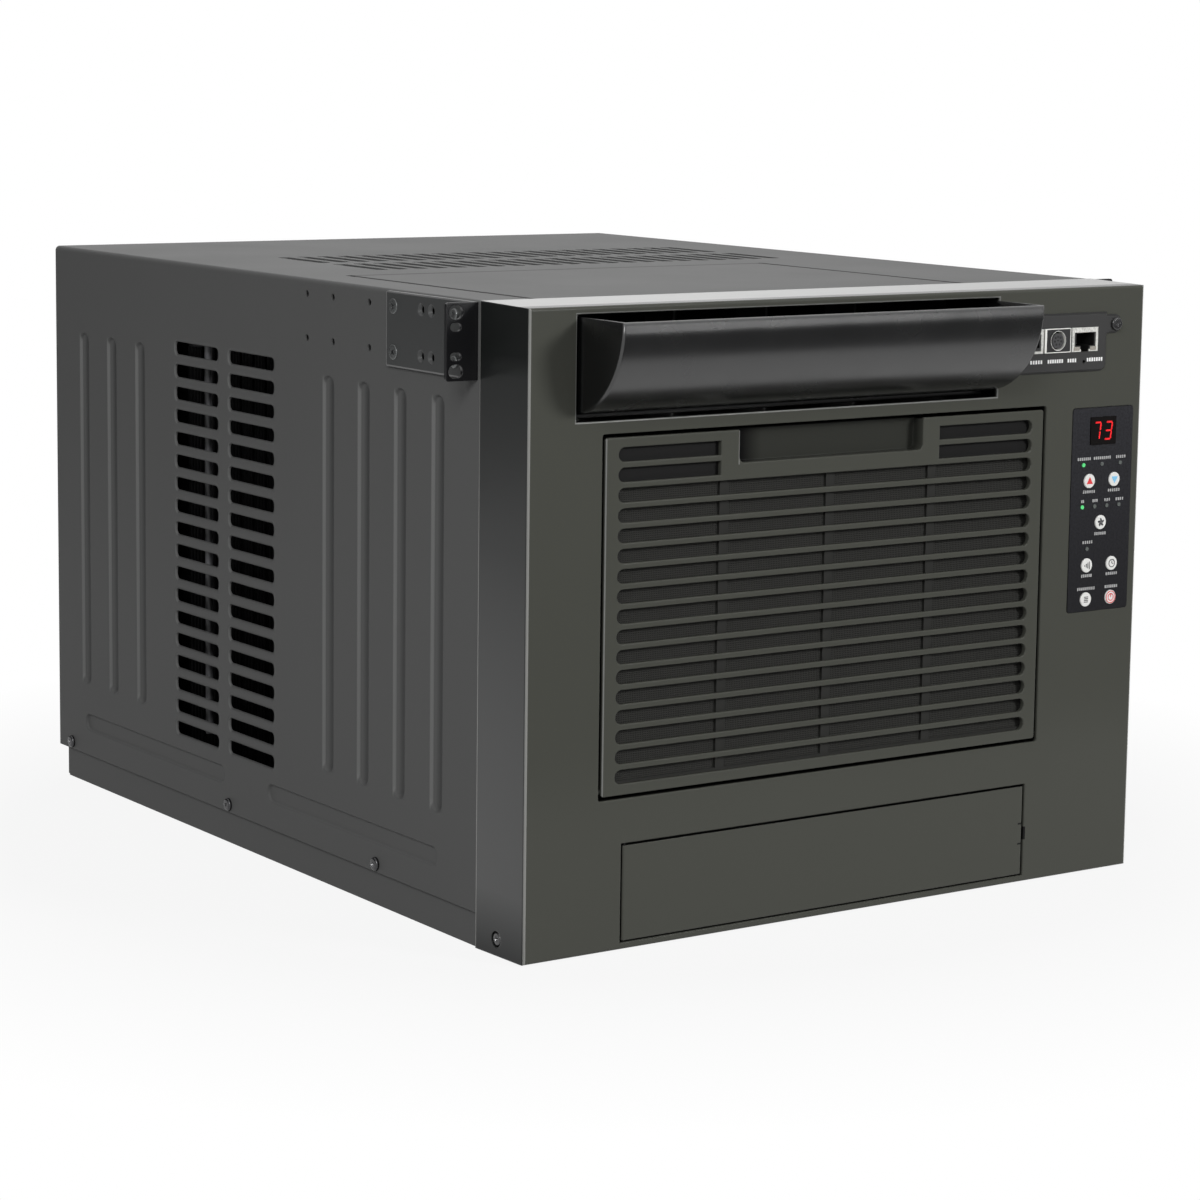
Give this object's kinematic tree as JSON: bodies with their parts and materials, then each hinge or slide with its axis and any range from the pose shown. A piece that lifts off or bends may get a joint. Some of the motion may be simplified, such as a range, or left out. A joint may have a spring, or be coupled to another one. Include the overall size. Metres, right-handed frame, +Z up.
{
  "type": "rack-mounted air conditioner",
  "caption": "Dark grey rack air conditioner: slotted steel cabinet, moulded front with a turning air hood, tilting intake grille, service flap, keypad, network card and rack ears.",
  "frame": {"origin": "on the ground under the middle of the whole unit, the hood included", "axes": "+X to the right seen from the front, +Y from the front to the back, +Z up"},
  "size_m": [0.4772, 0.616, 0.355],
  "materials": {
    "bezel_plastic": "satin",
    "cabinet_paint": "satin powder coat",
    "hood_gloss": "gloss",
    "black_plastic": "matt",
    "panel_gloss": "satin film",
    "display_red": "tinted window",
    "button_white": "satin",
    "lamp_lens": "clear lens",
    "jack_shell": "satin",
    "fin_aluminium": "rolled",
    "galvanised": "galvanised",
    "filter_mesh": "woven mesh"
  },
  "bodies": {
    "cabinet": {"base_pan": "cabinet_paint", "cabinet_wrap": "cabinet_paint", "rear_panel": "cabinet_paint", "exhaust_guard": "cabinet_paint", "cord_gland": "black_plastic", "bulkhead": "galvanised", "compressor": "black_plastic", "evaporator_coil": "fin_aluminium", "condenser_coil": "fin_aluminium", "fan_shroud": "galvanised", "fan_motor": "black_plastic", "condenser_fan": "black_plastic", "front_bezel": "bezel_plastic", "outlet_duct": "black_plastic", "outlet_vanes": "black_plastic", "service_recess": "black_plastic", "control_panel": "panel_gloss", "display_window": "display_red", "keypad_buttons": "button_white", "indicator_lamps": "lamp_lens", "card_plate": "black_plastic", "network_jack": "jack_shell", "config_jack": "jack_shell", "sensor_jack": "jack_shell", "left_rack_ear": "cabinet_paint", "right_rack_ear": "cabinet_paint"},
    "hood": {"air_hood": "hood_gloss"},
    "grille": {"intake_grille": "bezel_plastic", "air_filter": "filter_mesh"},
    "door": {"access_door": "bezel_plastic"}
  },
  "joints": [
    {"name": "hood_turn", "type": "hinge", "parent": "cabinet", "child": "hood", "pos_m": [-0.0415, -0.2575, 0.3465], "axis": [1, 0, 0], "range_deg": [0, 80]},
    {"name": "grille_tilt", "type": "hinge", "parent": "cabinet", "child": "grille", "pos_m": [-0.01365, -0.264, 0.0903], "axis": [1, 0, 0], "range_deg": [0, 60]},
    {"name": "door_swing", "type": "hinge", "parent": "cabinet", "child": "door", "pos_m": [-0.1522, -0.265, 0.03245], "axis": [0, 0, -1], "range_deg": [0, 105]}
  ]
}
